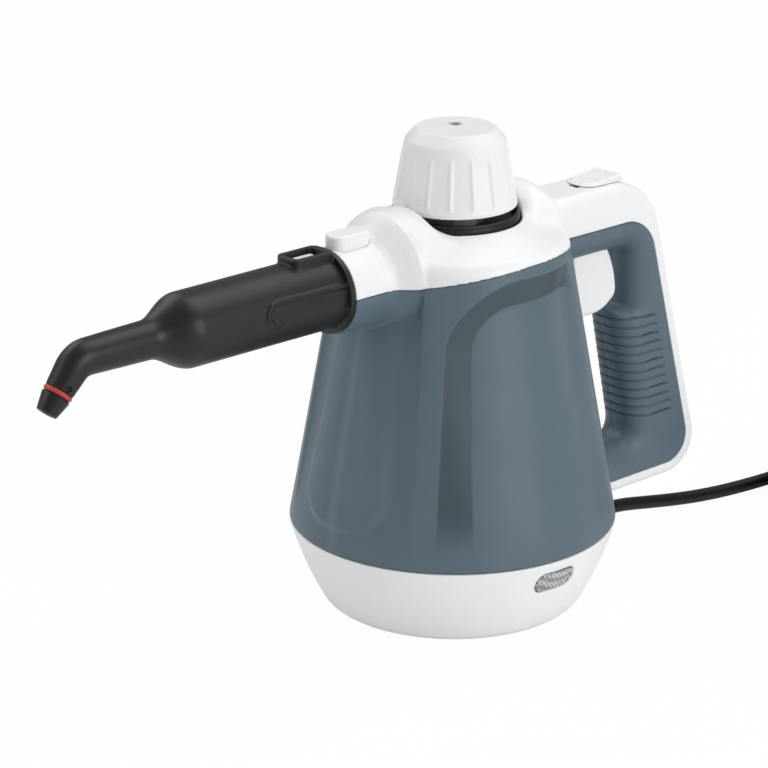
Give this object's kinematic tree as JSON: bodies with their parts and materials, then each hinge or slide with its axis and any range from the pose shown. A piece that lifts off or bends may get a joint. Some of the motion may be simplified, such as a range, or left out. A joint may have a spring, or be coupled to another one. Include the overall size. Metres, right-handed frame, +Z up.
{
  "type": "handheld steam cleaner",
  "caption": "Handheld steam cleaner: conical blue-grey tank housing with a loop grip and trigger, white base and cover, screw-down safety cap, bent black jet nozzle and a coiled mains cord.",
  "frame": {"origin": "on the floor, at the centre of the object's footprint box without its cord", "axes": "+Z up from the feet, -X towards the nozzle, +X towards the handle, Y across the middle plane"},
  "size_m": [0.5665, 0.2188, 0.2227],
  "materials": {
    "blue_plastic": "satin blue-grey moulded plastic",
    "white_plastic": "smooth white moulded plastic",
    "black_rubber": "matte black rubber or soft PVC",
    "steel": "plated steel",
    "clear_plastic": "clear lens with a fine cushion pattern",
    "red_silicone": "red silicone rubber",
    "aluminium": "die-cast, satin",
    "ceramic": "pale ceramic or heat-proof moulding",
    "brass": "machined brass",
    "black_plastic": "satin black moulded plastic"
  },
  "bodies": {
    "housing": {"left_shell": "blue_plastic", "right_shell": "blue_plastic", "top_cover": "white_plastic", "handle_spine": "white_plastic", "base_shell": "white_plastic", "foot_1": "black_rubber", "foot_2": "black_rubber", "foot_3": "black_rubber", "foot_4": "black_rubber", "base_screw_1": "steel", "base_screw_2": "steel", "base_screw_3": "steel", "indicator_lens": "clear_plastic", "lamp_holder": "white_plastic", "boiler_gasket": "red_silicone", "boiler_lower": "aluminium", "boiler_upper": "aluminium", "boiler_bolt_1": "steel", "boiler_bolt_2": "steel", "boiler_bolt_3": "steel", "boiler_bolt_4": "steel", "heating_element": "steel", "thermostat": "ceramic", "thermal_fuse": "ceramic", "terminal_block": "ceramic", "steam_valve": "brass", "steam_pipe": "steel", "outlet_spigot": "black_plastic", "spigot_seal": "red_silicone", "button_spring": "steel", "filler_collar": "black_plastic", "trigger_pin": "steel", "trigger_spring": "steel", "strain_relief": "black_rubber", "mains_cord": "black_rubber", "cord_coil": "black_rubber", "cord_tail": "black_rubber", "cord_tie": "black_rubber", "plug_pin_1": "brass", "plug_pin_2": "brass", "plug_body": "black_rubber"},
    "cap_lift": {"cap_seal": "red_silicone"},
    "cap_plug": {"cap_insert": "black_plastic", "relief_valve": "brass", "cap_spring": "steel"},
    "cap_knob": {"cap_shell": "white_plastic"},
    "trigger_lever": {"trigger": "white_plastic"},
    "valve_plunger": {"valve_rod": "steel"},
    "lock_slider": {"lock_switch": "white_plastic"},
    "release_latch": {"release_button": "white_plastic"},
    "nozzle": {"jet_nozzle": "black_plastic", "tip_seal": "red_silicone"}
  },
  "joints": [
    {"name": "cap_rise", "type": "slide", "parent": "housing", "child": "cap_lift", "axis": [0, 0, 1], "range_m": [0, 0.0141]},
    {"name": "cap_turn", "type": "hinge", "parent": "cap_lift", "child": "cap_plug", "pos_m": [0.04065, 0, 0.1973], "axis": [0, 0, 1], "range_deg": [0, 1260]},
    {"name": "cap_press", "type": "slide", "parent": "cap_plug", "child": "cap_knob", "axis": [0, 0, -1], "range_m": [0, 0.0025], "stiffness_N_per_m": 900, "springref_m": -0.004, "deforming": ["cap_spring"]},
    {"name": "trigger_pull", "type": "hinge", "parent": "housing", "child": "trigger_lever", "pos_m": [0.11665, 0, 0.1565], "axis": [0, -1, 0], "range_deg": [0, 10], "stiffness_Nm_per_rad": 0.5, "springref_deg": -8.59},
    {"name": "valve_push", "type": "slide", "parent": "housing", "child": "valve_plunger", "axis": [-1, 0, 0], "range_m": [0, 0.0019]},
    {"name": "lock_slide", "type": "slide", "parent": "housing", "child": "lock_slider", "axis": [-1, 0, 0], "range_m": [0, 0.005]},
    {"name": "button_press", "type": "slide", "parent": "housing", "child": "release_latch", "axis": [0, 0, -1], "range_m": [0, 0.0025], "stiffness_N_per_m": 600, "springref_m": -0.002, "deforming": ["button_spring"]},
    {"name": "nozzle_pull", "type": "slide", "parent": "housing", "child": "nozzle", "axis": [-1, 0, 0], "range_m": [0, 0.06]}
  ],
  "couplings": [
    {"joint": "cap_rise", "follows": "cap_turn", "m_per_rad": 0.00063662},
    {"joint": "valve_push", "follows": "trigger_pull", "m_per_rad": 0.0105}
  ]
}
